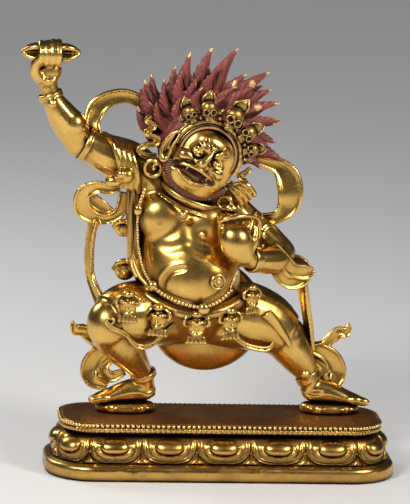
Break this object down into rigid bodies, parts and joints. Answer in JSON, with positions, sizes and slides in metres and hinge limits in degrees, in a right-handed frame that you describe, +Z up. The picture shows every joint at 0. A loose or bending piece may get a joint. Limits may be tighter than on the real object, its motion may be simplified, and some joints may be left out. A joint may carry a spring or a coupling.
{
  "type": "vajrapani statue",
  "caption": "Gilt bronze statue of a wrathful striding figure with flaming hair, a looping scarf and a raised arm holding a sceptre, on a long lotus plinth.",
  "frame": {"origin": "centre of the plinth's flat underside", "axes": "+Z up, -Y towards the figure's front, +X towards the viewer's right as the figure faces the viewer"},
  "size_m": [0.1486, 0.048, 0.1658],
  "materials": {
    "gilt_bronze": "polished gilding, worn and darkened in the hollows",
    "red_pigment": "thin dull red pigment rubbed through to the gilding"
  },
  "bodies": {
    "root": {"figure": "gilt_bronze", "plinth": "gilt_bronze"}
  },
  "joints": []
}
